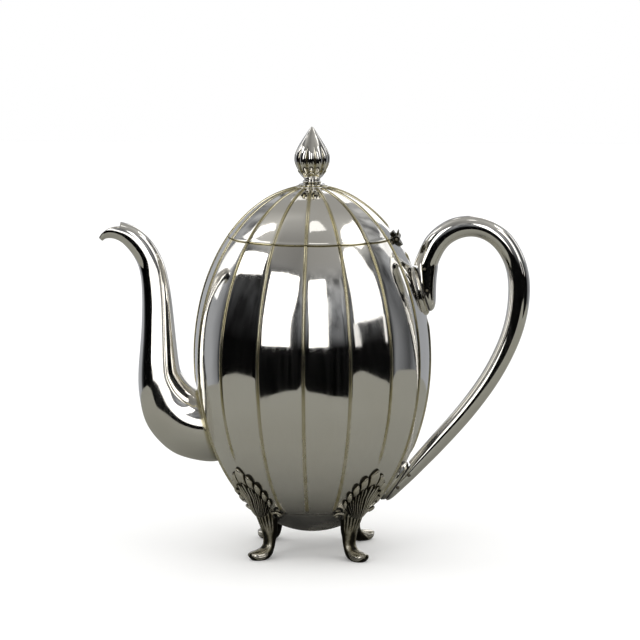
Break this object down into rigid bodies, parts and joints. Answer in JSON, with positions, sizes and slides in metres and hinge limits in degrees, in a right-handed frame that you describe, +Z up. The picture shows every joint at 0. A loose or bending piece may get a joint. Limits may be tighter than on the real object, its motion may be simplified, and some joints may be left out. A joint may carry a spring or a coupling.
{
  "type": "silver teapot",
  "caption": "Tall egg-shaped ribbed silver pot with a curved spout, a looped hollow handle, a hinged lid with a bud finial, and cast leaf feet.",
  "frame": {"origin": "on the table, under the body's axis, which is within 1 mm of the middle of the overall length", "axes": "+Z up along the body's axis, +X towards the handle, the spout towards -X, Y across the pot along the lid's hinge pin"},
  "size_m": [0.2278, 0.1266, 0.2264],
  "materials": {
    "polished_silver": "mirror polished, with tarnish beside the ribs",
    "inner_silver": "polished, slightly dulled",
    "cast_silver": "cast and polished on the high parts, dark in the recesses",
    "pin_metal": "dull",
    "insulator": "matt, dark"
  },
  "bodies": {
    "pot": {"body_shell": "polished_silver", "base_disc": "polished_silver", "spout": "polished_silver", "handle": "polished_silver", "mouth_collar": "inner_silver", "upper_flange": "cast_silver", "lower_flange": "cast_silver", "hinge_body_leaf": "cast_silver", "foot_front_left": "cast_silver", "foot_front_right": "cast_silver", "foot_back_left": "cast_silver", "foot_back_right": "cast_silver", "hinge_pin": "pin_metal", "upper_pin_high": "pin_metal", "upper_pin_low": "pin_metal", "lower_pin_high": "pin_metal", "lower_pin_low": "pin_metal", "upper_insulator": "insulator", "lower_insulator": "insulator"},
    "lid": {"lid_shell": "polished_silver", "lid_bezel": "inner_silver", "finial_base": "polished_silver", "finial_bud": "polished_silver", "finial_stud": "pin_metal", "finial_washer": "pin_metal", "finial_nut": "pin_metal", "hinge_lid_leaf": "cast_silver"}
  },
  "joints": [
    {"name": "lid_hinge", "type": "hinge", "parent": "pot", "child": "lid", "pos_m": [0.0449, 0, 0.1683], "axis": [0, 1, 0], "range_deg": [0, 95]}
  ]
}
